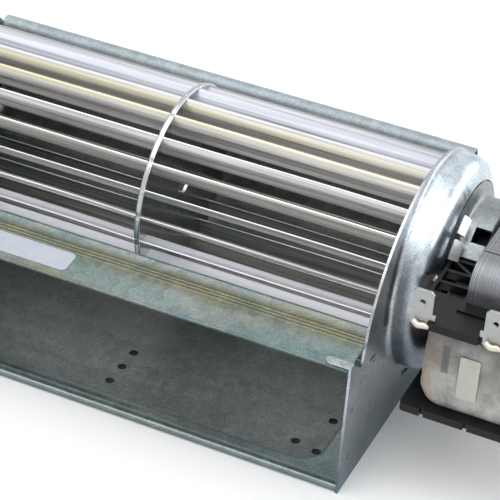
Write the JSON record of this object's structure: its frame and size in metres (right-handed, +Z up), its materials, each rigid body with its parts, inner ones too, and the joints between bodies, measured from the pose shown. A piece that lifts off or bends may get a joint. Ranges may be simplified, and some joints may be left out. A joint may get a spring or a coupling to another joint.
{
  "type": "cross-flow blower with shaded-pole fan motor",
  "caption": "Cross-flow blower: long bladed wheel in a folded galvanised housing, driven by an open shaded-pole motor with a taped coil on the side.",
  "frame": {"origin": "on the base plane, at the middle of the blower's length, in front of the wheel", "axes": "+X along the wheel's axis towards the motor, +Y to the closed back, +Z up; the outlet faces -Y"},
  "size_m": [0.2453, 0.0985, 0.0832],
  "materials": {
    "galvanised": "galvanised sheet steel, spangled, handled",
    "wheel_aluminium": "rolled aluminium, satin",
    "shaft_steel": "bright steel, turned or plated",
    "core_steel": "stacked electrical sheet, cut edges",
    "bush_bronze": "sintered bronze, oiled",
    "copper": "copper wire",
    "terminal_brass": "tinned brass",
    "black_plastic": "moulded, slightly glossy",
    "natural_plastic": "moulded",
    "black_rubber": "moulded rubber",
    "taped_coil": "winding wrapped in dirty white tape",
    "label_paper": "blank white sticker"
  },
  "bodies": {
    "frame": {"scroll": "galvanised", "tongue": "galvanised", "side_plate_motor": "galvanised", "side_plate_far": "galvanised", "motor_cup": "galvanised", "far_cup": "galvanised", "cup_rivets": "shaft_steel", "cup_clips": "galvanised", "front_bush": "bush_bronze", "far_rubber_ring": "black_rubber", "far_bush": "bush_bronze", "far_retainer": "galvanised", "stator_core": "core_steel", "stator_leg": "core_steel", "shading_rings": "copper", "bobbin": "black_plastic", "coil": "taped_coil", "tab_terminals": "terminal_brass", "wire_crimps": "copper", "core_spacers": "shaft_steel", "core_screws": "shaft_steel", "core_nuts": "shaft_steel", "rear_bracket": "galvanised", "rear_bush": "bush_bronze", "rear_retainer": "shaft_steel", "tongue_label": "label_paper", "coil_label": "label_paper"},
    "wheel": {"wheel_blades": "wheel_aluminium", "middle_ring": "wheel_aluminium", "wheel_disc_motor": "wheel_aluminium", "wheel_disc_far": "wheel_aluminium", "wheel_hub": "wheel_aluminium", "hub_set_screw": "shaft_steel", "far_stub_shaft": "shaft_steel", "motor_shaft": "shaft_steel", "rotor_core": "core_steel", "rotor_end_rings": "wheel_aluminium", "thrust_washers": "natural_plastic"}
  },
  "joints": [
    {"name": "wheel_spin", "type": "hinge", "parent": "frame", "child": "wheel", "pos_m": [0, 0.034, 0.0485], "axis": [1, 0, 0], "continuous": true}
  ]
}
